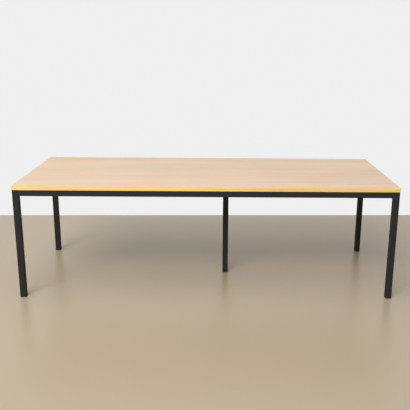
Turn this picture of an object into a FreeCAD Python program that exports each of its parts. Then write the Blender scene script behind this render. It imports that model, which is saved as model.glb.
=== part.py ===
import FreeCAD, Part
import math
import os

from FreeCAD import Rotation, Vector

# Long rectangular table with a board top on a frame of square steel tube.
# X runs along its length, Y from the front to the rear, Z up. The origin is on the
# floor under the middle of the top. Lengths are in millimetres, angles in degrees.
TABLE_LENGTH = 2400.0
TABLE_DEPTH = 950.0
TABLE_HEIGHT = 737.0

# Top: a board core with a laminate above, a backing sheet below and four edge bands.
CORE_THICKNESS = 25.0
LAMINATE_THICKNESS = 0.8
BACKING_THICKNESS = 0.8
BAND_THICKNESS = 2.0
BAND_ROUND = 1.0
TOP_OVERHANG = 1.5

# Square tube of all legs and rails.
TUBE_SIZE = 38.0
TUBE_WALL = 2.0
TUBE_CORNER_RADIUS = 3.0
TUBE_BORE_RADIUS = 1.0

# The middle leg stands to the right of the middle of the table.
MIDDLE_LEG_OFFSET = 127.0

# Spigots: short tubes on the legs, over which the ends of the long rails slide.
SPIGOT_REACH = 70.0
SPIGOT_WALL = 3.0
SPIGOT_CLEARANCE = 0.3
SPIGOT_BOLT_SHARES = (0.3, 0.75)

# Button head bolts that go up through the long rails into the spigots.
BOLT_DIAMETER = 6.0
BOLT_LENGTH = 10.0
BOLT_HEAD_DIAMETER = 10.5
BOLT_HEAD_HEIGHT = 3.3
BOLT_HEAD_ROUND = 2.4
BOLT_SOCKET_FLATS = 4.0
BOLT_SOCKET_DEPTH = 2.0
BOLT_HOLE_CLEARANCE = 0.3

# Angle cleats between the cross rail and the long rails, and their hex head screws.
CLEAT_WIDTH = 30.0
CLEAT_THICKNESS = 3.0
CLEAT_HEIGHT = 26.0
CLEAT_SCREW_SHARE = 0.62
CLEAT_SCREW_DIAMETER = 5.5
CLEAT_SCREW_LENGTH = 14.0
CLEAT_SCREW_POINT = 4.0
CLEAT_SCREW_FLATS = 8.0
CLEAT_SCREW_HEAD_HEIGHT = 4.0
CLEAT_SCREW_WASHER_DIAMETER = 11.0
CLEAT_SCREW_WASHER_THICKNESS = 1.0
CLEAT_HOLE_CLEARANCE = 0.4

# Tabs welded to the rails, through which screws hold the top down.
TAB_LENGTH = 30.0
TAB_REACH = 26.0
TAB_THICKNESS = 3.0
TAB_ROUND = 6.0
TAB_HOLE_SHARE = 0.55
TAB_HOLE_CLEARANCE = 0.5
BAY_TAB_SHARES = (0.2, 0.8)
SHORT_RAIL_TAB_SHARES = (0.25, 0.75)

# Pan head wood screws in the tabs.
SCREW_DIAMETER = 4.5
SCREW_LENGTH = 22.0
SCREW_POINT = 5.0
SCREW_HEAD_DIAMETER = 9.0
SCREW_HEAD_HEIGHT = 2.6
SCREW_HEAD_ROUND = 1.6
SCREW_SLOT_LENGTH = 5.0
SCREW_SLOT_WIDTH = 1.1
SCREW_SLOT_DEPTH = 1.4
PILOT_END_CLEARANCE = 1.0

# Weld beads in the corners under the rails.
WELD_SIZE = 4.0
WELD_BULGE_SHARE = 0.6

# Foot plug: a flanged plastic plug in the lower end of each leg.
FOOT_STANDOFF = 1.5
PLUG_FLANGE_THICKNESS = 4.0
PLUG_FLANGE_ROUND = 0.8
PLUG_DEPTH = 28.0
PLUG_CLEARANCE = 0.5
PLUG_FIN_THICKNESS = 1.2
PLUG_FIN_CLEARANCE = 0.1
PLUG_FIN_SHARES = (0.25, 0.5, 0.75)
PLUG_RIM = 2.0
PLUG_WEB = 3.0

# Thread insert held in the plug.
INSERT_DIAMETER = 12.0
INSERT_LENGTH = 14.0
INSERT_CLEARANCE = 0.05

# Screw stem of the levelling foot, with a flat head inside the turning base.
STEM_DIAMETER = 8.0
STEM_LENGTH = 38.0
STEM_HEAD_DIAMETER = 14.0
STEM_HEAD_THICKNESS = 2.5
STEM_CHAMFER = 0.8
STEM_CLEARANCE = 0.05
STEM_HOLE_CLEARANCE = 0.4

# Turning base, which stands on the floor and rests inside the plug when wound in.
BASE_THICKNESS = 6.0
BASE_SOLE = 1.5
BASE_CHAMFER = 0.8
BASE_SIDE_CLEARANCE = 0.5
BASE_ROOF_CLEARANCE = 0.3
BASE_GRIP_COUNT = 10
BASE_GRIP_RADIUS = 2.0
BASE_GRIP_DEPTH = 1.0

# Radial clearance of a screw thread in its own hole, and the overrun of every cut.
THREAD_CLEARANCE = 0.05
OVERRUN = 1.0

# Sizes and places that follow from the ones above.
top_thickness = LAMINATE_THICKNESS + CORE_THICKNESS + BACKING_THICKNESS
core_length = TABLE_LENGTH - 2 * BAND_THICKNESS
core_depth = TABLE_DEPTH - 2 * BAND_THICKNESS
frame_top = TABLE_HEIGHT - top_thickness
core_bottom = frame_top + BACKING_THICKNESS
core_top = core_bottom + CORE_THICKNESS

half_tube = TUBE_SIZE / 2
tube_bore = TUBE_SIZE - 2 * TUBE_WALL
tube_flat = TUBE_SIZE - 2 * TUBE_CORNER_RADIUS
rail_middle = frame_top - half_tube
rail_bottom = frame_top - TUBE_SIZE
leg_x = TABLE_LENGTH / 2 - TOP_OVERHANG - half_tube
leg_y = TABLE_DEPTH / 2 - TOP_OVERHANG - half_tube
long_rail_length = 2 * leg_x - TUBE_SIZE
short_rail_length = 2 * leg_y - TUBE_SIZE
leg_bottom = FOOT_STANDOFF + PLUG_FLANGE_THICKNESS

spigot_size = tube_bore - 2 * SPIGOT_CLEARANCE
spigot_bottom = rail_bottom + TUBE_WALL + SPIGOT_CLEARANCE
tab_top = frame_top - TUBE_CORNER_RADIUS
tab_bottom = tab_top - TAB_THICKNESS

plug_size = tube_bore - 2 * PLUG_CLEARANCE
recess_radius = plug_size / 2 - PLUG_RIM
recess_roof = BASE_THICKNESS + BASE_ROOF_CLEARANCE
insert_seat = recess_roof + PLUG_WEB
base_radius = recess_radius - BASE_SIDE_CLEARANCE
stem_head_bottom = BASE_SOLE + STEM_CLEARANCE
stem_head_top = stem_head_bottom + STEM_HEAD_THICKNESS
stem_top = BASE_THICKNESS + STEM_LENGTH

# Directions; a cleat's screws are given as they run in the front right corner.
UP = Vector(0, 0, 1)
INTO_RAIL = Vector(0, -1, 0)
INTO_CROSS_RAIL = Vector(-1, 0, 0)

# Signs of X and Y at the ends and at the long edges of the table.
SIDES = {"left": -1, "right": 1}
FACES = {"front": -1, "rear": 1}
CORNERS = [(face, side) for face in FACES for side in SIDES]


def corner_place(face, side):
    """Middle of a corner leg, seen from above."""
    return SIDES[side] * leg_x, FACES[face] * leg_y


def foot_places():
    """The five feet by name, each with the middle of its leg."""
    places = {f"{face}_{side}": corner_place(face, side) for face, side in CORNERS}
    places["middle"] = (MIDDLE_LEG_OFFSET, 0)
    return places


def placed(shape, x, y, z, turn=0):
    """A copy of a shape, turned about Z and then moved."""
    copy = shape.copy()
    copy.rotate(Vector(0, 0, 0), UP, turn)
    copy.translate(Vector(x, y, z))
    return copy


def aimed(shape, seat, direction):
    """A copy of a fastener made along Z, put on its seat and pointed along a direction."""
    copy = shape.copy()
    turn = Rotation(UP, direction)
    copy.rotate(Vector(0, 0, 0), turn.Axis, math.degrees(turn.Angle))
    copy.translate(seat)
    return copy


def rod(diameter, length, bottom=0):
    """A round bar along Z."""
    return Part.makeCylinder(diameter / 2, length, Vector(0, 0, bottom))


def block(length, depth, height, bottom=0):
    """A box centred on Z."""
    return Part.makeBox(length, depth, height, Vector(-length / 2, -depth / 2, bottom))


def rounded_bar(size, radius, length, bottom=0):
    """A square bar along Z with rounded long edges."""
    bar = block(size, size, length, bottom)
    long_edges = [edge for edge in bar.Edges if edge.BoundBox.ZLength > length / 2]
    return bar.makeFillet(radius, long_edges)


def hollow_bar(size, wall, radius, bore_radius, length):
    """A square tube along Z, open at both ends."""
    bore_length = length + 2 * OVERRUN
    bore = rounded_bar(size - 2 * wall, bore_radius, bore_length, -OVERRUN)
    return rounded_bar(size, radius, length).cut(bore)


def square_tube(length):
    """A length of the frame's tube along Z."""
    return hollow_bar(TUBE_SIZE, TUBE_WALL, TUBE_CORNER_RADIUS, TUBE_BORE_RADIUS, length)


def laid(bar, length, direction):
    """A bar made along Z, laid along a level direction with its middle at the origin."""
    return aimed(bar, direction * (-length / 2), direction)


def turned(profile):
    """A round solid from the half outline of its section, as (radius, height) points."""
    points = [Vector(radius, 0, height) for radius, height in profile]
    outline = Part.makePolygon(points + points[:1])
    return Part.Face(outline).revolve(Vector(0, 0, 0), UP, 360)


def hexagon_bar(flats, height, bottom=0):
    """A six-sided bar along Z, by its width across the flats."""
    sides = 6
    corner = Vector(flats / math.sqrt(3), 0, bottom)
    turns = [Rotation(UP, 360 * step / sides) for step in range(sides + 1)]
    outline = Part.makePolygon([turn.multVec(corner) for turn in turns])
    return Part.Face(outline).extrude(UP * height)


def domed_head(diameter, height, radius):
    """A round screw head below zero, with its lower edge rounded."""
    head = rod(diameter, height, -height)
    lower_edge = min(head.Edges, key=lambda edge: edge.CenterOfMass.z)
    return head.makeFillet(radius, [lower_edge])


def top_sheet(thickness, bottom):
    """One flat layer of the top, between the edge bands."""
    return block(core_length, core_depth, thickness, bottom)


def pilot_holes():
    """Holes in the board for the screws that hold it down."""
    hole_top = tab_bottom + SCREW_LENGTH + PILOT_END_CLEARANCE
    hole = rod(SCREW_DIAMETER + 2 * THREAD_CLEARANCE, hole_top - tab_bottom, tab_bottom)
    return Part.makeCompound([placed(hole, x, y, 0) for x, y in top_screw_places()])


def edge_band(length, round_ends):
    """A band along X whose outer face looks to -Y; its rear face is at Y zero."""
    corner = Vector(-length / 2, -BAND_THICKNESS, frame_top)
    band = Part.makeBox(length, BAND_THICKNESS, top_thickness, corner)
    outer_edges = [edge for edge in band.Edges if edge.BoundBox.YMin < -BAND_THICKNESS / 2]
    long_edges = [edge for edge in outer_edges if edge.BoundBox.XLength > length / 2]
    return band.makeFillet(BAND_ROUND, outer_edges if round_ends else long_edges)


def corner_leg(face, side):
    """A corner leg, from its foot plug up to the underside of the top."""
    x, y = corner_place(face, side)
    return placed(square_tube(frame_top - leg_bottom), x, y, leg_bottom)


def middle_leg():
    """The fifth leg, welded under the cross rail."""
    return placed(square_tube(rail_bottom - leg_bottom), MIDDLE_LEG_OFFSET, 0, leg_bottom)


def long_rail(face):
    """A front or rear rail, with its holes for the spigot bolts and the cleat screws."""
    rail = laid(square_tube(long_rail_length), long_rail_length, Vector(1, 0, 0))
    rail = placed(rail, 0, FACES[face] * leg_y, rail_middle)
    hole_diameter = BOLT_DIAMETER + 2 * BOLT_HOLE_CLEARANCE
    bolt_hole = rod(hole_diameter, TUBE_WALL + 2 * OVERRUN, rail_bottom - OVERRUN)
    holes = [placed(bolt_hole, x, y, 0) for x, y in spigot_bolt_places(face)]
    return rail.cut(holes + cleat_screw_holes())


def end_rail(side):
    """A short rail at one end of the table, welded between its two legs."""
    rail = laid(square_tube(short_rail_length), short_rail_length, Vector(0, 1, 0))
    return placed(rail, SIDES[side] * leg_x, 0, rail_middle)


def cross_rail():
    """The rail across the table that carries the middle leg, drilled for its cleats."""
    rail = laid(square_tube(short_rail_length), short_rail_length, Vector(0, 1, 0))
    rail = placed(rail, MIDDLE_LEG_OFFSET, 0, rail_middle)
    return rail.cut(cleat_screw_holes())


def spigot(face, side):
    """A short tube on a leg's inner face, inside the end of a long rail."""
    radius = TUBE_BORE_RADIUS + SPIGOT_CLEARANCE
    stub = hollow_bar(spigot_size, SPIGOT_WALL, radius, TUBE_BORE_RADIUS, SPIGOT_REACH)
    stub = laid(stub, SPIGOT_REACH, Vector(1, 0, 0))
    middle = SIDES[side] * (long_rail_length - SPIGOT_REACH) / 2
    stub = placed(stub, middle, FACES[face] * leg_y, rail_middle)
    hole_diameter = BOLT_DIAMETER + 2 * THREAD_CLEARANCE
    hole = rod(hole_diameter, SPIGOT_WALL + 2 * OVERRUN, spigot_bottom - OVERRUN)
    return stub.cut([placed(hole, x, y, 0) for x, y in spigot_bolt_places(face)])


def spigot_bolt_places(face):
    """Where the bolts of one long rail stand, seen from above."""
    reaches = [share * SPIGOT_REACH for share in SPIGOT_BOLT_SHARES]
    return [(sign * (long_rail_length / 2 - reach), FACES[face] * leg_y)
            for sign in SIDES.values() for reach in reaches]


def button_bolt():
    """A bolt along Z: its head below zero, with a hexagon socket, its shank above."""
    head = domed_head(BOLT_HEAD_DIAMETER, BOLT_HEAD_HEIGHT, BOLT_HEAD_ROUND)
    socket_bottom = -BOLT_HEAD_HEIGHT - OVERRUN
    socket = hexagon_bar(BOLT_SOCKET_FLATS, BOLT_SOCKET_DEPTH + OVERRUN, socket_bottom)
    return head.fuse(rod(BOLT_DIAMETER, BOLT_LENGTH)).cut(socket)


def spigot_bolts():
    """All bolts of the spigots, with their heads under the long rails."""
    places = [place for face in FACES for place in spigot_bolt_places(face)]
    return Part.makeCompound([placed(button_bolt(), x, y, rail_bottom) for x, y in places])


def in_cleat_corner(shape, face, side):
    """A shape made for the front right cleat corner, turned and put into one of the four."""
    turns = {
        ("front", "right"): 0,
        ("front", "left"): 90,
        ("rear", "left"): 180,
        ("rear", "right"): 270,
    }
    x = MIDDLE_LEG_OFFSET + SIDES[side] * half_tube
    y = FACES[face] * short_rail_length / 2
    return placed(shape, x, y, rail_middle, turns[face, side])


def cleat_holes(diameter, depth):
    """Two holes that start inside a cleat's angle, one through each flange."""
    across = CLEAT_SCREW_SHARE * CLEAT_WIDTH
    start = CLEAT_THICKNESS + OVERRUN
    drill = rod(diameter, depth + 2 * OVERRUN)
    return [aimed(drill, Vector(across, start, 0), INTO_RAIL),
            aimed(drill, Vector(start, across, 0), INTO_CROSS_RAIL)]


def cleat_screw_holes():
    """The holes in the walls of the rails for the screws of all cleats."""
    diameter = CLEAT_SCREW_DIAMETER + 2 * THREAD_CLEARANCE
    return [in_cleat_corner(hole, face, side) for face, side in CORNERS
            for hole in cleat_holes(diameter, CLEAT_THICKNESS + TUBE_WALL)]


def cleat(face, side):
    """An angle cleat with one hole in each flange."""
    corner = Vector(0, 0, -CLEAT_HEIGHT / 2)
    on_rail = Part.makeBox(CLEAT_WIDTH, CLEAT_THICKNESS, CLEAT_HEIGHT, corner)
    on_cross_rail = Part.makeBox(CLEAT_THICKNESS, CLEAT_WIDTH, CLEAT_HEIGHT, corner)
    angle = on_rail.fuse(on_cross_rail).removeSplitter()
    diameter = CLEAT_SCREW_DIAMETER + 2 * CLEAT_HOLE_CLEARANCE
    return in_cleat_corner(angle.cut(cleat_holes(diameter, CLEAT_THICKNESS)), face, side)


def pointed_shank(diameter, length, point):
    """A screw's shank along Z from zero, with a cone at its end."""
    radius = diameter / 2
    return turned([(0, 0), (radius, 0), (radius, length - point), (0, length)])


def hex_screw():
    """A hex washer head screw along Z, with its head below zero."""
    washer_bottom = -CLEAT_SCREW_WASHER_THICKNESS
    washer = rod(CLEAT_SCREW_WASHER_DIAMETER, CLEAT_SCREW_WASHER_THICKNESS, washer_bottom)
    head = hexagon_bar(CLEAT_SCREW_FLATS, CLEAT_SCREW_HEAD_HEIGHT, -CLEAT_SCREW_HEAD_HEIGHT)
    shank = pointed_shank(CLEAT_SCREW_DIAMETER, CLEAT_SCREW_LENGTH, CLEAT_SCREW_POINT)
    return washer.fuse([head, shank])


def cleat_screws():
    """Two screws in each cleat."""
    across = CLEAT_SCREW_SHARE * CLEAT_WIDTH
    pair = [aimed(hex_screw(), Vector(across, CLEAT_THICKNESS, 0), INTO_RAIL),
            aimed(hex_screw(), Vector(CLEAT_THICKNESS, across, 0), INTO_CROSS_RAIL)]
    screws = [in_cleat_corner(screw, face, side) for face, side in CORNERS for screw in pair]
    return Part.makeCompound(screws)


def tab_places():
    """Tabs by rail: the point where each meets its rail, and its turn about Z."""
    inner_x = leg_x - half_tube
    inner_y = leg_y - half_tube
    bays = [(-inner_x, MIDDLE_LEG_OFFSET - half_tube), (MIDDLE_LEG_OFFSET + half_tube, inner_x)]
    bay_xs = [start + share * (end - start) for start, end in bays for share in BAY_TAB_SHARES]
    short_ys = [share * short_rail_length - inner_y for share in SHORT_RAIL_TAB_SHARES]
    return {
        "front_rail": [(x, -inner_y, 0) for x in bay_xs],
        "rear_rail": [(x, inner_y, 180) for x in bay_xs],
        "left_end_rail": [(-inner_x, y, -90) for y in short_ys],
        "right_end_rail": [(inner_x, y, 90) for y in short_ys],
        "cross_rail": [(MIDDLE_LEG_OFFSET - half_tube, short_ys[0], 90),
                       (MIDDLE_LEG_OFFSET + half_tube, short_ys[-1], -90)],
    }


def top_screw_places():
    """Where the screws through the tabs stand, seen from above."""
    reach = Vector(0, TAB_HOLE_SHARE * TAB_REACH, 0)
    places = []
    for x, y, turn in sum(tab_places().values(), []):
        step = Rotation(UP, turn).multVec(reach)
        places.append((x + step.x, y + step.y))
    return places


def tab():
    """A tab that stands out to +Y from a rail's face at Y zero."""
    plate = Part.makeBox(TAB_LENGTH, TAB_REACH, TAB_THICKNESS, Vector(-TAB_LENGTH / 2, 0, 0))
    free_corners = [edge for edge in plate.Edges if edge.BoundBox.ZLength > TAB_THICKNESS / 2
                    and edge.CenterOfMass.y > TAB_REACH / 2]
    plate = plate.makeFillet(TAB_ROUND, free_corners)
    hole = rod(SCREW_DIAMETER + 2 * TAB_HOLE_CLEARANCE, TAB_THICKNESS + 2 * OVERRUN, -OVERRUN)
    return plate.cut(placed(hole, 0, TAB_HOLE_SHARE * TAB_REACH, 0))


def rail_tabs(places):
    """The tabs of one rail."""
    return Part.makeCompound([placed(tab(), x, y, tab_bottom, turn) for x, y, turn in places])


def wood_screw():
    """A pan head screw along Z, with its head and cross slots below zero."""
    head = domed_head(SCREW_HEAD_DIAMETER, SCREW_HEAD_HEIGHT, SCREW_HEAD_ROUND)
    slot_height = SCREW_SLOT_DEPTH + OVERRUN
    slot_bottom = -SCREW_HEAD_HEIGHT - OVERRUN
    slots = [block(SCREW_SLOT_LENGTH, SCREW_SLOT_WIDTH, slot_height, slot_bottom),
             block(SCREW_SLOT_WIDTH, SCREW_SLOT_LENGTH, slot_height, slot_bottom)]
    return head.fuse(pointed_shank(SCREW_DIAMETER, SCREW_LENGTH, SCREW_POINT)).cut(slots)


def top_screws():
    """The screws that hold the top, one in each tab."""
    return Part.makeCompound([placed(wood_screw(), x, y, tab_bottom) for x, y in top_screw_places()])


def weld_bead():
    """A bead along X in the corner under a rail, on the +Y side of a leg's face."""
    bulge = WELD_BULGE_SHARE * WELD_SIZE
    start = Vector(-tube_flat / 2, 0, 0)
    along = start + Vector(0, WELD_SIZE, 0)
    middle = start + Vector(0, bulge, -bulge)
    down = start + Vector(0, 0, -WELD_SIZE)
    outline = Part.Wire([Part.makeLine(start, along), Part.Arc(along, middle, down).toShape(),
                         Part.makeLine(down, start)])
    return Part.Face(outline).extrude(Vector(tube_flat, 0, 0))


def end_welds(side):
    """The beads under both ends of an end rail."""
    x = SIDES[side] * leg_x
    inner_y = short_rail_length / 2
    return Part.makeCompound([placed(weld_bead(), x, -inner_y, rail_bottom),
                              placed(weld_bead(), x, inner_y, rail_bottom, 180)])


def middle_leg_welds():
    """The beads before and behind the head of the middle leg."""
    return Part.makeCompound([placed(weld_bead(), MIDDLE_LEG_OFFSET, half_tube, rail_bottom),
                              placed(weld_bead(), MIDDLE_LEG_OFFSET, -half_tube, rail_bottom, 180)])


def foot_plug():
    """A plug in a leg's end, recessed below for the base and bored for the insert."""
    flange = rounded_bar(TUBE_SIZE, TUBE_CORNER_RADIUS, PLUG_FLANGE_THICKNESS, FOOT_STANDOFF)
    flange_middle = FOOT_STANDOFF + PLUG_FLANGE_THICKNESS / 2
    lower_edges = [edge for edge in flange.Edges if edge.BoundBox.ZMax < flange_middle]
    flange = flange.makeFillet(PLUG_FLANGE_ROUND, lower_edges)
    body = rounded_bar(plug_size, TUBE_BORE_RADIUS + PLUG_CLEARANCE, PLUG_DEPTH, leg_bottom)
    fin_size = tube_bore - 2 * PLUG_FIN_CLEARANCE
    fin_radius = TUBE_BORE_RADIUS + PLUG_FIN_CLEARANCE
    fins = [rounded_bar(fin_size, fin_radius, PLUG_FIN_THICKNESS, leg_bottom + share * PLUG_DEPTH)
            for share in PLUG_FIN_SHARES]
    plug_top = leg_bottom + PLUG_DEPTH
    recess = rod(2 * recess_radius, recess_roof)
    stem_hole = rod(STEM_DIAMETER + 2 * STEM_HOLE_CLEARANCE, plug_top)
    pocket_depth = plug_top + OVERRUN - insert_seat
    pocket = rod(INSERT_DIAMETER + 2 * INSERT_CLEARANCE, pocket_depth, insert_seat)
    return flange.fuse([body] + fins).cut([recess, stem_hole, pocket])


def thread_insert():
    """The threaded sleeve that sits in the plug."""
    bore = rod(STEM_DIAMETER + 2 * STEM_CLEARANCE, INSERT_LENGTH + 2 * OVERRUN, insert_seat - OVERRUN)
    return rod(INSERT_DIAMETER, INSERT_LENGTH, insert_seat).cut(bore)


def foot_stem():
    """The screw of a levelling foot."""
    radius = STEM_DIAMETER / 2
    head_radius = STEM_HEAD_DIAMETER / 2
    return turned([
        (0, stem_head_bottom),
        (head_radius, stem_head_bottom),
        (head_radius, stem_head_top),
        (radius, stem_head_top),
        (radius, stem_top - STEM_CHAMFER),
        (radius - STEM_CHAMFER, stem_top),
        (0, stem_top),
    ])


def foot_base():
    """The base under a stem: a disc round the stem's head, with finger grips in its rim."""
    neck_radius = STEM_DIAMETER / 2 + STEM_CLEARANCE
    pocket_radius = STEM_HEAD_DIAMETER / 2 + STEM_CLEARANCE
    pocket_top = stem_head_top + STEM_CLEARANCE
    disc = turned([
        (0, 0),
        (base_radius - BASE_CHAMFER, 0),
        (base_radius, BASE_CHAMFER),
        (base_radius, BASE_THICKNESS),
        (neck_radius, BASE_THICKNESS),
        (neck_radius, pocket_top),
        (pocket_radius, pocket_top),
        (pocket_radius, BASE_SOLE),
        (0, BASE_SOLE),
    ])
    grip = rod(2 * BASE_GRIP_RADIUS, BASE_THICKNESS + 2 * OVERRUN, -OVERRUN)
    grip.translate(Vector(base_radius + BASE_GRIP_RADIUS - BASE_GRIP_DEPTH, 0, 0))
    turns = [360 * step / BASE_GRIP_COUNT for step in range(BASE_GRIP_COUNT)]
    return disc.cut([placed(grip, 0, 0, 0, turn) for turn in turns])


def top_nodes():
    """The layers of the top and its edge bands."""
    front_band = edge_band(TABLE_LENGTH, True)
    end_band = edge_band(core_depth, False)
    holes = pilot_holes()
    return {
        "top_core": top_sheet(CORE_THICKNESS, core_bottom).cut(holes),
        "top_laminate": top_sheet(LAMINATE_THICKNESS, core_top),
        "top_backing": top_sheet(BACKING_THICKNESS, frame_top).cut(holes),
        "front_edge_band": placed(front_band, 0, -core_depth / 2, 0),
        "rear_edge_band": placed(front_band, 0, core_depth / 2, 0, 180),
        "left_edge_band": placed(end_band, -core_length / 2, 0, 0, -90),
        "right_edge_band": placed(end_band, core_length / 2, 0, 0, 90),
    }


def frame_nodes():
    """Legs, rails and what joins them."""
    nodes = {}
    for face, side in CORNERS:
        nodes[f"{face}_{side}_leg"] = corner_leg(face, side)
        nodes[f"{face}_{side}_spigot"] = spigot(face, side)
        nodes[f"{face}_{side}_cleat"] = cleat(face, side)
    for face in FACES:
        nodes[f"{face}_rail"] = long_rail(face)
    for side in SIDES:
        nodes[f"{side}_end_rail"] = end_rail(side)
        nodes[f"{side}_end_welds"] = end_welds(side)
    for rail, places in tab_places().items():
        nodes[f"{rail}_tabs"] = rail_tabs(places)
    nodes["cross_rail"] = cross_rail()
    nodes["middle_leg"] = middle_leg()
    nodes["middle_leg_welds"] = middle_leg_welds()
    nodes["spigot_bolts"] = spigot_bolts()
    nodes["cleat_screws"] = cleat_screws()
    nodes["top_screws"] = top_screws()
    return nodes


def foot_nodes():
    """A plug, stem and base per leg, and the thread inserts of all legs as one group."""
    nodes = {}
    for name, (x, y) in foot_places().items():
        nodes[f"{name}_foot_plug"] = placed(foot_plug(), x, y, 0)
        nodes[f"{name}_foot_stem"] = placed(foot_stem(), x, y, 0)
        nodes[f"{name}_foot_base"] = placed(foot_base(), x, y, 0)
    inserts = [placed(thread_insert(), x, y, 0) for x, y in foot_places().values()]
    nodes["foot_thread_inserts"] = Part.makeCompound(inserts)
    return nodes


os.makedirs("parts", exist_ok=True)
for node, shape in {**top_nodes(), **frame_nodes(), **foot_nodes()}.items():
    shape.exportStep(f"parts/{node}.step")
    print(f"{node}: {len(shape.Solids)} solids, {shape.Volume:.0f} mm3")
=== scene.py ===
import math

import bmesh
import bpy
from mathutils import Matrix, Vector


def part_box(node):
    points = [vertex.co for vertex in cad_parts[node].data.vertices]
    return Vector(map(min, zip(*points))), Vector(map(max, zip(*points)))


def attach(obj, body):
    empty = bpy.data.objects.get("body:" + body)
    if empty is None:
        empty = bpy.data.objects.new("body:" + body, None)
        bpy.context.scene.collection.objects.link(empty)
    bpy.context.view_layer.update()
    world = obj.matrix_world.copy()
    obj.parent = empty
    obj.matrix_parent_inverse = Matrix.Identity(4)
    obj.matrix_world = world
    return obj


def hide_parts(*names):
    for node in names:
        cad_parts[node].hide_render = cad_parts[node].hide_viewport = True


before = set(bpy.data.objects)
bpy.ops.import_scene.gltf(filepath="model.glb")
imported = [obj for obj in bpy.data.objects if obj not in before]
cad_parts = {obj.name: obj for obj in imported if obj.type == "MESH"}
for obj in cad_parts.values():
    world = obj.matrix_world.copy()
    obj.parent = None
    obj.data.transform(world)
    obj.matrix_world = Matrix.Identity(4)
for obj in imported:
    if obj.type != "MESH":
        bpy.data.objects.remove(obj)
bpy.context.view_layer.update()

# End frames
# Two frames carry the ends of the table: a pair of corner legs and the short rail between them,
# cut from square steel tube with rounded corners. Each frame is welded up, sprayed with black
# powder and baked, which leaves a fine pebbled skin that rubs thin along the corners.
SIDES = ("left", "right")
FACES = ("front", "rear")
CORNERS = [f"{face}_{side}" for face in FACES for side in SIDES]
COAT_BLACK = (0.016, 0.016, 0.016, 1)
COAT_RUBBED = (0.05, 0.049, 0.047, 1)
COAT_CREST_SHARE = 0.3
COAT_ROUGHNESS = (0.6, 0.72)
COAT_SHINE = 0.17
COAT_PEBBLE = 0.0012
COAT_PEBBLE_DEPTH = 0.00008
COAT_RUB_PATCH = 0.09
COAT_GLOSS_PATCH = 0.15

# Limits between which a smooth step runs: over most of a cloudy noise, from a flat face to a
# rounded corner by the largest part of its normal, and from untouched to rubbed patches.
CLOUDS = (0.3, 0.7)
CORNER_LEAN = (0.96, 0.78)
RUB_PATCHES = (0.42, 0.66)


def add_node(tree, kind, inputs=None, **settings):
    """A shader node with its settings made and its inputs linked or set."""
    node = tree.nodes.new(f"ShaderNode{kind}")
    for name, value in settings.items():
        setattr(node, name, value)
    for name, value in (inputs or {}).items():
        if isinstance(value, bpy.types.NodeSocket):
            tree.links.new(value, node.inputs[name])
        else:
            node.inputs[name].default_value = value
    return node


def calculated(tree, operation, *values):
    """The result of a Math node."""
    return add_node(tree, "Math", dict(enumerate(values)), operation=operation).outputs[0]


def vector_calculated(tree, operation, *values):
    """The result of a Vector Math node."""
    return add_node(tree, "VectorMath", dict(enumerate(values)), operation=operation).outputs[0]


def ramped(tree, value, start, end, low=0.0, high=1.0):
    """A smooth step from low to high while the value goes from start to end."""
    limits = {"Value": value, "From Min": start, "From Max": end, "To Min": low, "To Max": high}
    return add_node(tree, "MapRange", limits, interpolation_type="SMOOTHSTEP").outputs[0]


def blended(tree, share, first, second):
    """A colour that goes from the first to the second as share goes from 0 to 1."""
    return add_node(tree, "Mix", {0: share, 6: first, 7: second}, data_type="RGBA").outputs[2]


def noise(tree, vector, scale=1.0, detail=2.0, roughness=0.5):
    """Cloudy noise around 0.5, with about scale clouds to a unit of the vector."""
    inputs = {"Vector": vector, "Scale": scale, "Detail": detail, "Roughness": roughness}
    return add_node(tree, "TexNoise", inputs).outputs[0]


def piece_places(tree):
    """The piece's own coordinates, in metres."""
    return add_node(tree, "TexCoord").outputs["Object"]


def per_metre(tree, size):
    """How many times a size goes into a metre."""
    return calculated(tree, "DIVIDE", 1.0, size)


def shader_group(name, inputs, outputs):
    """A new node group with its sockets, and the sockets of its two end nodes."""
    group = bpy.data.node_groups.new(name, "ShaderNodeTree")
    for socket, kind in inputs.items():
        group.interface.new_socket(socket, in_out="INPUT", socket_type=f"NodeSocket{kind}")
    for socket in outputs:
        group.interface.new_socket(socket, in_out="OUTPUT", socket_type="NodeSocketFloat")
    return group, group.nodes.new("NodeGroupInput").outputs, group.nodes.new("NodeGroupOutput").inputs


def corner_rub_group():
    """Mask of the rounded corners of a piece where use has rubbed its finish, in patches."""
    group, given, result = shader_group("corner_rub", {"Patch Size": "Float"}, ["Rub"])
    normal = add_node(group, "TexCoord").outputs["Normal"]
    lean = add_node(group, "SeparateXYZ", {0: vector_calculated(group, "ABSOLUTE", normal)}).outputs
    flatness = calculated(group, "MAXIMUM", calculated(group, "MAXIMUM", lean[0], lean[1]), lean[2])
    corner = ramped(group, flatness, *CORNER_LEAN)
    patch_scale = per_metre(group, given["Patch Size"])
    clouds = noise(group, piece_places(group), patch_scale, detail=5, roughness=0.6)
    rubbed = calculated(group, "MULTIPLY", corner, ramped(group, clouds, *RUB_PATCHES))
    group.links.new(rubbed, result["Rub"])
    return group


def pebbled_skin_group():
    """Height of a pebbled skin, and a slow change over the piece for its gloss."""
    sizes = {"Pebble Size": "Float", "Gloss Patch": "Float"}
    group, given, result = shader_group("pebbled_skin", sizes, ["Height", "Gloss"])
    places = piece_places(group)
    pebbles = noise(group, places, per_metre(group, given["Pebble Size"]), detail=1)
    patches = noise(group, places, per_metre(group, given["Gloss Patch"]), detail=3)
    group.links.new(pebbles, result["Height"])
    group.links.new(patches, result["Gloss"])
    return group


def new_finish(name):
    """A material with its node tree and its shader."""
    material = bpy.data.materials.new(name)
    material.use_nodes = True
    return material, material.node_tree, material.node_tree.nodes["Principled BSDF"]


def add_group(tree, group, **values):
    """A node group put into a material, with its values; gives its outputs."""
    inputs = {name.replace("_", " ").title(): value for name, value in values.items()}
    return add_node(tree, "Group", inputs, node_tree=group).outputs


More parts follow.
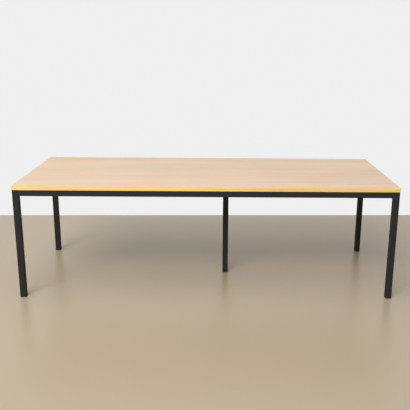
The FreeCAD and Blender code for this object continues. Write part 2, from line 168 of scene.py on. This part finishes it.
def bumped(tree, shader, height, depth):
    """Gives a shader relief, as deep as a height that goes from 0 to 1."""
    relief = add_node(tree, "Bump", {"Height": height, "Distance": depth})
    tree.links.new(relief.outputs[0], shader.inputs["Normal"])


def worn_finish(name, clean, rubbed, rub_patch, roughness, gloss_patch, grain, depth, crest_share=0):
    """A grained finish, rubbed at its corners and on its crests; gives the material and its shader."""
    material, tree, shader = new_finish(name)
    rub = add_group(tree, corner_rub, patch_size=rub_patch)["Rub"]
    skin = add_group(tree, pebbled_skin, pebble_size=grain, gloss_patch=gloss_patch)
    worn = calculated(tree, "MAXIMUM", rub, ramped(tree, skin["Height"], *CLOUDS, 0, crest_share))
    tree.links.new(blended(tree, worn, clean, rubbed), shader.inputs["Base Color"])
    tree.links.new(ramped(tree, skin["Gloss"], *CLOUDS, *roughness), shader.inputs["Roughness"])
    bumped(tree, shader, skin["Height"], depth)
    return material, shader


def finish_nodes(names, material):
    """Puts a material on carried-over pieces."""
    for name in names:
        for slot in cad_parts[name].material_slots:
            slot.material = material


corner_rub = corner_rub_group()
pebbled_skin = pebbled_skin_group()
powder_coat, shader = worn_finish(
    "black_powder_coat", clean=COAT_BLACK, rubbed=COAT_RUBBED, rub_patch=COAT_RUB_PATCH,
    roughness=COAT_ROUGHNESS, gloss_patch=COAT_GLOSS_PATCH, grain=COAT_PEBBLE, depth=COAT_PEBBLE_DEPTH,
    crest_share=COAT_CREST_SHARE)
shader.inputs["Specular IOR Level"].default_value = COAT_SHINE
finish_nodes([f"{corner}_leg" for corner in CORNERS], powder_coat)
finish_nodes([f"{side}_end_rail" for side in SIDES], powder_coat)

# Welds under the end rails
# A fillet weld runs across the tube under each end of an end rail, in the corner that it makes
# with its leg. A hand-laid bead is a row of overlapping puddles, frozen as crescents, and the
# black powder covers it with the rest of the frame.
RAIL_WELD_SIZE = 0.004
RAIL_WELD_LENGTH = 0.032
WELD_PUDDLE = 0.002
WELD_PUDDLE_RINGS = 6
WELD_ARC_STEPS = 8
SMOOTH_ANGLE = math.radians(35)

# How far a bead's round section is drawn in at its hollow face, between puddles and at its ends,
# how sharp the valleys between puddles are, and how far the puddles bulge along the bead.
WELD_HOLLOW_SHARE = 0.15
WELD_VALLEY_SHARE = 0.16
WELD_END_SHARE = 0.5
WELD_VALLEY_POWER = 3
WELD_CRESCENT_SHARE = 0.22


def as_mesh(bm, name):
    """Makes a closed bmesh a mesh that is smooth but for its sharp edges."""
    bmesh.ops.recalc_face_normals(bm, faces=bm.faces)
    mesh = bpy.data.meshes.new(name)
    bm.to_mesh(mesh)
    bm.free()
    mesh.shade_smooth()
    mesh.set_sharp_from_angle(angle=SMOOTH_ANGLE)
    return mesh


def weld_bead(size, length):
    """A bead along X, in the corner below a face at Z zero and in front of a face at Y zero."""
    bm = bmesh.new()
    bm.verts.new((-length / 2, size, 0))
    bmesh.ops.spin(bm, geom=bm.verts[:], axis=(1, 0, 0), angle=-math.pi / 2, steps=WELD_ARC_STEPS)
    upper, *_, lower = bm.verts
    root = bm.verts.new((-length / 2, 0, 0))
    bm.edges.new((root, upper))
    bm.edges.new((root, lower))
    puddles = round(length / WELD_PUDDLE)
    rings = puddles * WELD_PUDDLE_RINGS
    bmesh.ops.spin(bm, geom=bm.verts[:] + bm.edges[:], axis=(1, 0, 0), angle=0, steps=rings,
                   dvec=(length / rings, 0, 0))
    bmesh.ops.holes_fill(bm, edges=[edge for edge in bm.edges if edge.is_boundary])
    for vert in bm.verts:
        puddle = (vert.co.x + length / 2) / WELD_PUDDLE
        swell = math.sin(2 * math.atan2(-vert.co.z, vert.co.y))
        valley = WELD_VALLEY_SHARE * abs(math.cos(math.pi * puddle)) ** WELD_VALLEY_POWER
        taper = min(1, WELD_END_SHARE + min(puddle, puddles - puddle))
        vert.co.yz *= (1 - WELD_HOLLOW_SHARE * swell) * (1 - valley) * taper
        vert.co.x += WELD_CRESCENT_SHARE * size * swell
    return as_mesh(bm, "weld_bead")


def add_copy(bm, mesh, place, turn=0):
    """Adds a copy of a mesh to a bmesh, turned about Z by some degrees and put in its place."""
    older = len(bm.verts)
    bm.from_mesh(mesh)
    moved = Matrix.Translation(place) @ Matrix.Rotation(math.radians(turn), 4, "Z")
    bmesh.ops.transform(bm, matrix=moved, verts=bm.verts[older:])


def new_piece(name, bm, material, body, replaced=()):
    """Makes a bmesh a piece with its finish, which rides on a body."""
    mesh = as_mesh(bm, name)
    mesh.materials.append(material)
    piece = bpy.data.objects.new(name, mesh)
    bpy.context.scene.collection.objects.link(piece)
    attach(piece, body)
    if replaced:
        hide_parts(*replaced)


def new_weld_pair(name, x, z, rearward_y, forward_y, replaced):
    """Two beads under a rail: one behind a leg's face at rearward_y, one before a face at forward_y."""
    beads = bmesh.new()
    add_copy(beads, rail_bead, (x, rearward_y, z))
    add_copy(beads, rail_bead, (x, forward_y, z), turn=180)
    new_piece(name, beads, powder_coat, "root", [replaced])


rail_bead = weld_bead(RAIL_WELD_SIZE, RAIL_WELD_LENGTH)
for side in SIDES:
    low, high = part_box(f"{side}_end_rail")
    new_weld_pair(f"{side}_end_weld_beads", x=(low.x + high.x) / 2, z=low.z, rearward_y=low.y,
                  forward_y=high.y, replaced=f"{side}_end_welds")

# Spigots and long rails
# Four short tubes are fixed to the legs of the end frames, and the ends of the front and rear
# rails slide over them. The long rails are the same square tube in the same black powder.
finish_nodes([f"{corner}_spigot" for corner in CORNERS], powder_coat)
finish_nodes([f"{face}_rail" for face in FACES], powder_coat)

# Spigot bolts
# Button head machine bolts go up through the long rails into the spigots. They are steel with
# a black oxide finish, oiled, which wears to bare metal on the edge of the head.
OXIDE_BLACK = (0.018, 0.018, 0.02, 1)
OXIDE_RUBBED = (0.2, 0.2, 0.2, 1)
OXIDE_ROUGHNESS = (0.28, 0.42)
OXIDE_METALLIC = 0.7
OXIDE_RUB_PATCH = 0.004
OXIDE_GRAIN = 0.0005
OXIDE_GRAIN_DEPTH = 0.000004
black_oxide, shader = worn_finish(
    "black_oxide_steel", clean=OXIDE_BLACK, rubbed=OXIDE_RUBBED, rub_patch=OXIDE_RUB_PATCH,
    roughness=OXIDE_ROUGHNESS, gloss_patch=OXIDE_RUB_PATCH, grain=OXIDE_GRAIN, depth=OXIDE_GRAIN_DEPTH)
shader.inputs["Metallic"].default_value = OXIDE_METALLIC
finish_nodes(["spigot_bolts"], black_oxide)

# Cross rail and middle leg
# A cross rail joins the long rails to the right of the middle of the table, and the fifth leg is
# welded under it, with a bead before and behind its head. Both are the same coated tube.
finish_nodes(["cross_rail", "middle_leg"], powder_coat)
low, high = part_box("middle_leg")
new_weld_pair("middle_leg_weld_beads", x=(low.x + high.x) / 2, z=high.z, rearward_y=high.y,
              forward_y=low.y, replaced="middle_leg_welds")

# Angle cleats and their screws
# Four pieces of angle, in the same black powder, sit in the corners between the cross rail and
# the long rails. Hex washer head screws, bright zinc plated, hold each flange to its rail.
ZINC_LIGHT = (0.66, 0.66, 0.64, 1)
ZINC_DARK = (0.5, 0.5, 0.52, 1)
ZINC_ROUGHNESS = (0.25, 0.42)
ZINC_SPANGLE = 0.0012
ZINC_STAIN_PATCH = 0.006
ZINC_GRAIN_DEPTH = 0.000004


def bright_zinc():
    """Zinc plate: a fine spangle of light and dark crystals on steel."""
    material, tree, shader = new_finish("bright_zinc")
    skin = add_group(tree, pebbled_skin, pebble_size=ZINC_SPANGLE, gloss_patch=ZINC_STAIN_PATCH)
    crystals = ramped(tree, skin["Height"], *CLOUDS)
    tree.links.new(blended(tree, crystals, ZINC_DARK, ZINC_LIGHT), shader.inputs["Base Color"])
    tree.links.new(ramped(tree, skin["Gloss"], *CLOUDS, *ZINC_ROUGHNESS), shader.inputs["Roughness"])
    shader.inputs["Metallic"].default_value = 1
    bumped(tree, shader, skin["Height"], ZINC_GRAIN_DEPTH)
    return material


zinc = bright_zinc()
finish_nodes([f"{corner}_cleat" for corner in CORNERS], powder_coat)
finish_nodes(["cleat_screws"], zinc)

# Tabs for the top
# Small steel tabs with one hole each stand inward from the rails, just under the board. A short
# bead below holds each tab to its rail, and the powder covers both.
TABBED_RAILS = [f"{face}_rail" for face in FACES]
TABBED_RAILS += [f"{side}_end_rail" for side in SIDES] + ["cross_rail"]
TAB_WELD_SIZE = 0.003
TAB_WELD_LENGTH = 0.022
SAME_POINT = 0.00001


def solid_boxes(node):
    """The lowest and highest corners of each separate solid in a carried-over piece."""
    bm = bmesh.new()
    bm.from_mesh(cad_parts[node].data)
    bmesh.ops.remove_doubles(bm, verts=bm.verts, dist=SAME_POINT)
    waiting = set(bm.verts)
    boxes = []
    while waiting:
        solid, reached = set(), {waiting.pop()}
        while reached:
            solid |= reached
            reached = {edge.other_vert(vert) for vert in reached for edge in vert.link_edges} - solid
        waiting -= solid
        axes = list(zip(*(vert.co for vert in solid)))
        boxes.append((Vector(map(min, axes)), Vector(map(max, axes))))
    bm.free()
    return sorted(boxes, key=lambda box: tuple(box[0]))


def tab_root(tab_low, tab_high, rail_low, rail_high):
    """The middle of the lower edge where a tab meets its rail, and the turn of a bead there."""
    middle = (tab_low + tab_high) / 2
    sides = [
        (tab_low.y - rail_high.y, (middle.x, tab_low.y, tab_low.z), 0),
        (tab_high.y - rail_low.y, (middle.x, tab_high.y, tab_low.z), 180),
        (tab_high.x - rail_low.x, (tab_high.x, middle.y, tab_low.z), 90),
        (tab_low.x - rail_high.x, (tab_low.x, middle.y, tab_low.z), -90),
    ]
    return min(sides, key=lambda side: abs(side[0]))[1:]


finish_nodes([f"{rail}_tabs" for rail in TABBED_RAILS], powder_coat)
tab_bead = weld_bead(TAB_WELD_SIZE, TAB_WELD_LENGTH)
beads = bmesh.new()
for rail in TABBED_RAILS:
    for tab in solid_boxes(f"{rail}_tabs"):
        add_copy(beads, tab_bead, *tab_root(*tab, *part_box(rail)))
new_piece("tab_weld_beads", beads, powder_coat, "root")

# Board core
# The core of the top is particle board: flakes and splinters of wood pressed with resin. The
# other layers hide it.
CHIP_LIGHT = (0.62, 0.45, 0.27, 1)
CHIP_DARK = (0.3, 0.19, 0.1, 1)
CHIP_SIZES = (0.008, 0.008, 0.002)
CHIP_ROUGHNESS = 0.9
CHIP_DEPTH = 0.0001


def particle_board():
    """Pressed wood chips that lie flat, each with its own shade."""
    material, tree, shader = new_finish("particle_board")
    places = vector_calculated(tree, "DIVIDE", piece_places(tree), CHIP_SIZES)
    chips = add_node(tree, "TexVoronoi", {"Vector": places, "Scale": 1}).outputs
    shade = add_node(tree, "SeparateXYZ", {0: chips["Color"]}).outputs[0]
    tree.links.new(blended(tree, shade, CHIP_DARK, CHIP_LIGHT), shader.inputs["Base Color"])
    shader.inputs["Roughness"].default_value = CHIP_ROUGHNESS
    bumped(tree, shader, chips["Distance"], CHIP_DEPTH)
    return material


finish_nodes(["top_core"], particle_board())

# Backing sheet
# A plain paper-based sheet is pressed under the core to balance the laminate above it. It is a
# matt pale brown with a faint fibre, and the tubes bear on it.
BACKING_LIGHT = (0.6, 0.47, 0.32, 1)
BACKING_DARK = (0.5, 0.38, 0.25, 1)
BACKING_ROUGHNESS = 0.75
BACKING_FIBRE = 0.003
BACKING_FIBRE_DEPTH = 0.000016
BACKING_CLOUD = 0.12

# Limits of a smooth step over most of the sum of two cloudy noises.
TWO_CLOUDS = (0.6, 1.4)


def backing_paper():
    """Matt fibrous sheet with slow clouds of tone."""
    material, tree, shader = new_finish("backing_paper")
    skin = add_group(tree, pebbled_skin, pebble_size=BACKING_FIBRE, gloss_patch=BACKING_CLOUD)
    tone = ramped(tree, calculated(tree, "ADD", skin["Height"], skin["Gloss"]), *TWO_CLOUDS)
    tree.links.new(blended(tree, tone, BACKING_DARK, BACKING_LIGHT), shader.inputs["Base Color"])
    shader.inputs["Roughness"].default_value = BACKING_ROUGHNESS
    bumped(tree, shader, skin["Height"], BACKING_FIBRE_DEPTH)
    return material


finish_nodes(["top_backing"], backing_paper())

# Laminate
# The working surface is a satin sheet with the figure of straight-grained oak, pressed onto the
# core with the grain along the table. Its lines are close and pale, with slow bands of tone, and
# use has left one long faint scuff near the right end of the front edge.
OAK_LIGHT = (0.785, 0.565, 0.375, 1)
OAK_DARK = (0.725, 0.505, 0.325, 1)
OAK_PORE = (0.45, 0.26, 0.12, 1)
OAK_PORE_SHARE = 0.45
OAK_PORE_DEPTH = 0.000015
OAK_TONES = (0.94, 1.05)
OAK_LINE = 0.011
OAK_ROUGHNESS = (0.3, 0.4)
OAK_SMUDGE_PATCH = 0.2
GRAIN_DRIFT = 0.07
GRAIN_DRIFT_SCALES = (0.7, 2.5, 2.5)
GRAIN_BAND_SCALES = (0.3, 6, 6)
GRAIN_LINE_SCALE = 0.6
GRAIN_LINES = (0.3, 0.66)
GRAIN_EARLY_WOOD = (0.56, 0.42)
GRAIN_PORE_SCALES = (55, 1500, 1500)
GRAIN_PORES = (0.6, 0.72)
SEAM_DARK = (0.4, 0.24, 0.11, 1)
SEAM_WIDTH = 0.0004
SCUFF_DARK = (0.4, 0.29, 0.2, 1)
SCUFF_SHARE = 0.9
SCUFF_FADE = (1, 0.4)
SCUFF_X, SCUFF_Y = 0.922, -0.378
SCUFF_LENGTH, SCUFF_WIDTH = 0.14, 0.026
SCUFF_STREAK_SCALES = (2, 8, 2)
NOISE_MIDDLE = 0.5


def wood_grain_group():
    """Tone bands, lines and pores of straight grain that runs along X."""
    inputs = {"Vector": "Vector", "Line Width": "Float"}
    group, given, result = shader_group("wood_grain", inputs, ["Tone", "Lines", "Pores"])
    places = given["Vector"]
    drift = noise(group, vector_calculated(group, "MULTIPLY", places, GRAIN_DRIFT_SCALES))
    drift = calculated(group, "MULTIPLY", calculated(group, "SUBTRACT", drift, NOISE_MIDDLE), GRAIN_DRIFT)
    shift = add_node(group, "CombineXYZ", {"Y": drift, "Z": drift}).outputs[0]
    flow = vector_calculated(group, "ADD", places, shift)
    band_places = vector_calculated(group, "MULTIPLY", flow, GRAIN_BAND_SCALES)
    group.links.new(noise(group, band_places, detail=3, roughness=0.55), result["Tone"])
    across = per_metre(group, given["Line Width"])
    scales = add_node(group, "CombineXYZ", {"X": GRAIN_LINE_SCALE, "Y": across, "Z": across}).outputs[0]
    line_places = vector_calculated(group, "MULTIPLY", flow, scales)
    lines = noise(group, line_places, detail=6, roughness=0.62)
    group.links.new(lines, result["Lines"])
    pore_places = vector_calculated(group, "MULTIPLY", flow, GRAIN_PORE_SCALES)
    pores = ramped(group, noise(group, pore_places, detail=1), *GRAIN_PORES)
    early_wood = ramped(group, lines, *GRAIN_EARLY_WOOD)
    group.links.new(calculated(group, "MULTIPLY", pores, early_wood), result["Pores"])
    return group


def oak(name, light, dark, along, line_width):
    """Satin oak figure along X or Y; gives the material, its tree, its shader and its colour."""
    material, tree, shader = new_finish(name)
    places = piece_places(tree)
    if along == "Y":
        places = add_node(tree, "Mapping", {0: places, "Rotation": (0, 0, math.pi / 2)}).outputs[0]
    grain = add_group(tree, wood_grain, vector=places, line_width=line_width)
    colour = blended(tree, ramped(tree, grain["Lines"], *GRAIN_LINES), dark, light)
    tone = ramped(tree, grain["Tone"], *CLOUDS, *OAK_TONES)
    colour = add_node(tree, "HueSaturation", {"Color": colour, "Value": tone}).outputs[0]
    pores = calculated(tree, "MULTIPLY", grain["Pores"], OAK_PORE_SHARE)
    colour = blended(tree, pores, colour, OAK_PORE)
    skin = add_group(tree, pebbled_skin, pebble_size=line_width, gloss_patch=OAK_SMUDGE_PATCH)
    tree.links.new(ramped(tree, skin["Gloss"], *CLOUDS, *OAK_ROUGHNESS), shader.inputs["Roughness"])
    bumped(tree, shader, calculated(tree, "SUBTRACT", 1.0, grain["Pores"]), OAK_PORE_DEPTH)
    return material, tree, shader, colour


def vector_length(tree, vector):
    """The length of a vector."""
    return add_node(tree, "VectorMath", {0: vector}, operation="LENGTH").outputs["Value"]


def scuffed(tree, colour, top_z):
    """A colour with the scuff drawn on it: a long spot, broken up by fine streaks along it."""
    from_middle = vector_calculated(tree, "SUBTRACT", piece_places(tree), (SCUFF_X, SCUFF_Y, top_z))
    half_sizes = (SCUFF_LENGTH / 2, SCUFF_WIDTH / 2, SCUFF_WIDTH / 2)
    shares = vector_calculated(tree, "DIVIDE", from_middle, half_sizes)
    spot = ramped(tree, vector_length(tree, shares), *SCUFF_FADE)
    streak_places = vector_calculated(tree, "MULTIPLY", shares, SCUFF_STREAK_SCALES)
    streaks = ramped(tree, noise(tree, streak_places), *CLOUDS)
    mark = calculated(tree, "MULTIPLY", spot, calculated(tree, "MULTIPLY", streaks, SCUFF_SHARE))
    return blended(tree, mark, colour, SCUFF_DARK)


def oak_laminate():
    """The laminate, with the thin dark seam that shows where it meets the edge bands."""
    material, tree, shader, colour = oak("oak_laminate", OAK_LIGHT, OAK_DARK, "X", OAK_LINE)
    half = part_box("top_laminate")[1]
    x, y, _ = add_node(tree, "SeparateXYZ", {0: piece_places(tree)}).outputs
    to_end = calculated(tree, "SUBTRACT", half.x, calculated(tree, "ABSOLUTE", x))
    to_side = calculated(tree, "SUBTRACT", half.y, calculated(tree, "ABSOLUTE", y))
    seam = ramped(tree, calculated(tree, "MINIMUM", to_end, to_side), SEAM_WIDTH, 0)
    colour = blended(tree, seam, scuffed(tree, colour, half.z), SEAM_DARK)
    tree.links.new(colour, shader.inputs["Base Color"])
    return material


wood_grain = wood_grain_group()
finish_nodes(["top_laminate"], oak_laminate())

# Edge bands
# Strips of lacquered oak, a little warmer than the laminate, are glued round the board. The
# front and rear strips cover the ends of the side strips, and hands and chairs have rubbed the
# rounded outer arrises in places.
BAND_LIGHT = (0.925, 0.65, 0.265, 1)
BAND_DARK = (0.86, 0.565, 0.195, 1)
BAND_RUBBED = (0.8, 0.6, 0.36, 1)
BAND_RUB_PATCH = 0.05
BAND_LINE = 0.006


def oak_band(along):
    """The band's lacquered oak, with its grain along X or Y."""
    material, tree, shader, colour = oak(f"oak_band_{along}", BAND_LIGHT, BAND_DARK, along, BAND_LINE)
    rub = add_group(tree, corner_rub, patch_size=BAND_RUB_PATCH)["Rub"]
    tree.links.new(blended(tree, rub, colour, BAND_RUBBED), shader.inputs["Base Color"])
    return material


finish_nodes([f"{face}_edge_band" for face in FACES], oak_band("X"))
finish_nodes([f"{side}_edge_band" for side in SIDES], oak_band("Y"))

# Screws of the top
# Pan head wood screws with cross slots, zinc plated, go up through the tabs into the board and
# hold it down on the frame.
finish_nodes(["top_screws"], zinc)

# Foot plugs and thread inserts
# A black moulded plug closes the lower end of each leg. It holds a zinc plated thread insert
# and has a round recess below, into which the levelling foot is wound.
FEET = CORNERS + ["middle"]
PLASTIC_BLACK = (0.012, 0.012, 0.012, 1)
PLASTIC_SCUFFED = (0.06, 0.058, 0.054, 1)
PLASTIC_ROUGHNESS = (0.45, 0.6)
PLASTIC_GRAIN = 0.0004
PLASTIC_GRAIN_DEPTH = 0.00001
PLASTIC_SCUFF_PATCH = 0.008
plastic, _ = worn_finish(
    "black_moulded_plastic", clean=PLASTIC_BLACK, rubbed=PLASTIC_SCUFFED, rub_patch=PLASTIC_SCUFF_PATCH,
    roughness=PLASTIC_ROUGHNESS, gloss_patch=PLASTIC_SCUFF_PATCH, grain=PLASTIC_GRAIN,
    depth=PLASTIC_GRAIN_DEPTH)
finish_nodes([f"{foot}_foot_plug" for foot in FEET], plastic)
finish_nodes(["foot_thread_inserts"], zinc)

# Levelling feet
# A zinc plated screw runs in each insert, with its flat head moulded into a black plastic base
# that stands on the floor. Finger grips round the base turn the foot up or down.
THREAD_RADIUS = 0.004
THREAD_PITCH = 0.00125
THREAD_DEPTH = 0.00077
THREAD_STEPS = 24
THREAD_SPARE_TURNS = 2
# Outline of one tooth: each point's share of the pitch and of the depth.
THREAD_SHARES = ((0, 0), (1 / 4, 0), (9 / 16, 1), (11 / 16, 1), (1, 0))
STEM_HEAD_THICKNESS = 0.0025
STEM_HEAD_BEVEL = 0.0004
STEM_NECK = 0.004
STEM_NECK_RADIUS = 0.003
STEM_SEGMENTS = 48


def new_line(bm, points):
    """A chain of edges through some points."""
    verts = [bm.verts.new(point) for point in points]
    return verts + [bm.edges.new(pair) for pair in zip(verts, verts[1:])]


def screw_thread(bottom, top):
    """A right-handed thread along Z: one tooth wound up in a helix and cut level at both ends."""
    bm = bmesh.new()
    root_radius = THREAD_RADIUS - THREAD_DEPTH
    tooth = new_line(bm, [(root_radius + depth * THREAD_DEPTH, 0, bottom + (height - 1) * THREAD_PITCH)
                          for height, depth in THREAD_SHARES])
    turns = math.ceil((top - bottom) / THREAD_PITCH) + THREAD_SPARE_TURNS
    bmesh.ops.spin(bm, geom=tooth, axis=(0, 0, 1), angle=2 * math.pi * turns, steps=THREAD_STEPS * turns,
                   dvec=(0, 0, THREAD_PITCH / THREAD_STEPS))
    bmesh.ops.remove_doubles(bm, verts=bm.verts, dist=SAME_POINT)
    for height, outward in ((bottom, -1), (top, 1)):
        bmesh.ops.bisect_plane(bm, geom=bm.verts[:] + bm.edges[:] + bm.faces[:], plane_co=(0, 0, height),
                               plane_no=(0, 0, outward), clear_outer=True)
    bmesh.ops.holes_fill(bm, edges=[edge for edge in bm.edges if edge.is_boundary])
    return bm


def threaded_stem(low, high):
    """The screw of a foot, from the corners of its box: flat head, undercut neck and thread."""
    head_radius = (high.x - low.x) / 2
    head_top = low.z + STEM_HEAD_THICKNESS
    neck_top = head_top + STEM_NECK
    bm = screw_thread(head_top + STEM_NECK / 2, high.z)
    head = new_line(bm, [
        (0, 0, low.z),
        (head_radius - STEM_HEAD_BEVEL, 0, low.z),
        (head_radius, 0, low.z + STEM_HEAD_BEVEL),
        (head_radius, 0, head_top - STEM_HEAD_BEVEL),
        (head_radius - STEM_HEAD_BEVEL, 0, head_top),
        (STEM_NECK_RADIUS, 0, head_top),
        (STEM_NECK_RADIUS, 0, neck_top),
        (0, 0, neck_top),
    ])
    bmesh.ops.spin(bm, geom=head, axis=(0, 0, 1), angle=2 * math.pi, steps=STEM_SEGMENTS, use_merge=True)
    bmesh.ops.remove_doubles(bm, verts=bm.verts, dist=SAME_POINT)
    return as_mesh(bm, "threaded_stem")


stem = threaded_stem(*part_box("middle_foot_stem"))
for foot in FEET:
    low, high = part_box(f"{foot}_foot_stem")
    screw = bmesh.new()
    add_copy(screw, stem, ((low.x + high.x) / 2, (low.y + high.y) / 2, 0))
    new_piece(f"{foot}_threaded_stem", screw, zinc, f"{foot}_stem", [f"{foot}_foot_stem"])
finish_nodes([f"{foot}_foot_base" for foot in FEET], plastic)

# Floor and backdrop
# A plain pale floor takes the table's shadow, and a plain white backdrop stands behind it. Both
# can be seen from one side only, so that the table also shows from behind and from below.
FLOOR_COLOUR = (0.485, 0.395, 0.275, 1)
FLOOR_ROUGHNESS = 0.3
FLOOR_REACH = 16
FLOOR_FADE = (3.2, 6.5)
BACKDROP_COLOUR = (0.86, 0.865, 0.865, 1)
BACKDROP_Y = 1.45
BACKDROP_TURN = math.radians(1.2)
BACKDROP_HEIGHT = 7


def stage_sheet(name, size_x, size_y, place):
    """A flat sheet of the stage."""
    bm = bmesh.new()
    bmesh.ops.create_grid(bm, x_segments=1, y_segments=1, size=0.5)
    bmesh.ops.scale(bm, vec=(size_x, size_y, 1), verts=bm.verts)
    bmesh.ops.transform(bm, matrix=place, verts=bm.verts)
    mesh = bpy.data.meshes.new(name)
    bm.to_mesh(mesh)
    bm.free()
    sheet = bpy.data.objects.new(name, mesh)
    bpy.context.scene.collection.objects.link(sheet)
    return sheet


def shader_mix(tree, share, first, second):
    """A mix of two shaders."""
    return add_node(tree, "MixShader", {0: share, 1: first, 2: second}).outputs[0]


def seen_directly(tree):
    """1 for rays that show the backdrop itself: straight, in a reflection or through glass."""
    path = add_node(tree, "LightPath").outputs
    seen = calculated(tree, "MAXIMUM", path["Is Camera Ray"], path["Is Glossy Ray"])
    return calculated(tree, "MAXIMUM", seen, path["Is Transmission Ray"])


def one_sided(tree, surface):
    """Shows a surface from its front only."""
    behind = add_node(tree, "NewGeometry").outputs["Backfacing"]
    clear = add_node(tree, "BsdfTransparent").outputs[0]
    shown = shader_mix(tree, behind, surface, clear)
    tree.links.new(shown, tree.nodes["Material Output"].inputs["Surface"])


floor = stage_sheet("floor", FLOOR_REACH, FLOOR_REACH, Matrix.Identity(4))
floor_finish, tree, shader = new_finish("pale_floor")
shader.inputs["Base Color"].default_value = FLOOR_COLOUR
shader.inputs["Roughness"].default_value = FLOOR_ROUGHNESS
far = ramped(tree, vector_length(tree, piece_places(tree)), *FLOOR_FADE)
fade = calculated(tree, "MULTIPLY", far, seen_directly(tree))
bright = add_node(tree, "Emission", {"Color": BACKDROP_COLOUR}).outputs[0]
one_sided(tree, shader_mix(tree, fade, shader.outputs[0], bright))
floor.data.materials.append(floor_finish)

upright = (Matrix.Translation((0, BACKDROP_Y, BACKDROP_HEIGHT / 2))
           @ Matrix.Rotation(BACKDROP_TURN, 4, "Z") @ Matrix.Rotation(math.pi / 2, 4, "X"))
backdrop = stage_sheet("backdrop", FLOOR_REACH, BACKDROP_HEIGHT, upright)
backdrop_finish, tree, shader = new_finish("white_backdrop")
clear = add_node(tree, "BsdfTransparent").outputs[0]
bright = add_node(tree, "Emission", {"Color": BACKDROP_COLOUR}).outputs[0]
one_sided(tree, shader_mix(tree, seen_directly(tree), clear, bright))
backdrop.data.materials.append(backdrop_finish)

# Light
# Soft studio light: an even pale world, a wide lamp high behind the camera and to its left for
# the front faces, and a wide lamp overhead for the top.
WORLD_LIGHT = 0.33


def soft_lamp(name, place, target, width, height, power):
    """A wide lamp that looks from its place to a target and isn't seen itself."""
    lamp = bpy.data.lights.new(name, "AREA")
    lamp.shape = "RECTANGLE"
    lamp.size, lamp.size_y, lamp.energy = width, height, power
    holder = bpy.data.objects.new(name, lamp)
    holder.location = place
    holder.rotation_euler = (Vector(target) - Vector(place)).to_track_quat("-Z", "Y").to_euler()
    holder.visible_camera = False
    bpy.context.scene.collection.objects.link(holder)


world = bpy.data.worlds.new("pale_studio")
bpy.context.scene.world = world
world.use_nodes = True
tree = world.node_tree
light = tree.nodes["Background"]
light.inputs["Color"].default_value = (1, 1, 1, 1)
light.inputs["Strength"].default_value = WORLD_LIGHT
shown = add_node(tree, "Background", {"Color": BACKDROP_COLOUR}).outputs[0]
mixed = shader_mix(tree, seen_directly(tree), light.outputs[0], shown)
tree.links.new(mixed, tree.nodes["World Output"].inputs["Surface"])
soft_lamp("front_lamp", place=(-3.2, -7.6, 6.4), target=(0, 0, 0.6), width=6.0, height=3.6, power=660)
soft_lamp("overhead_lamp", place=(-2.0, -2.0, 6.7), target=(0, 0.2, 0.7), width=8.0, height=5.2,
          power=212)

# Camera
# The view is the photograph's: from standing eye height in front of the table, slightly to the
# right of its middle, and looking a little down.
PHOTO_SIZE = 410
FOCAL_PIXELS = 614.95
CENTRE_PIXEL_X = 221.66
CAMERA_PLACE = (0.05042, -4.15264, 1.62504)
CAMERA_YAW, CAMERA_PITCH, CAMERA_ROLL = (math.radians(angle) for angle in (0.668, 15.227, 0.502))
camera_data = bpy.data.cameras.new("photo_camera")
camera_data.lens = camera_data.sensor_width * FOCAL_PIXELS / PHOTO_SIZE
camera_data.shift_x = (PHOTO_SIZE / 2 - CENTRE_PIXEL_X) / PHOTO_SIZE
camera = bpy.data.objects.new("photo_camera", camera_data)
camera.matrix_world = (Matrix.Translation(CAMERA_PLACE) @ Matrix.Rotation(-CAMERA_YAW, 4, "Z")
                       @ Matrix.Rotation(math.pi / 2 - CAMERA_PITCH, 4, "X")
                       @ Matrix.Rotation(CAMERA_ROLL, 4, "Z"))
bpy.context.scene.collection.objects.link(camera)
bpy.context.scene.camera = camera
bpy.context.scene.view_settings.view_transform = "Standard"
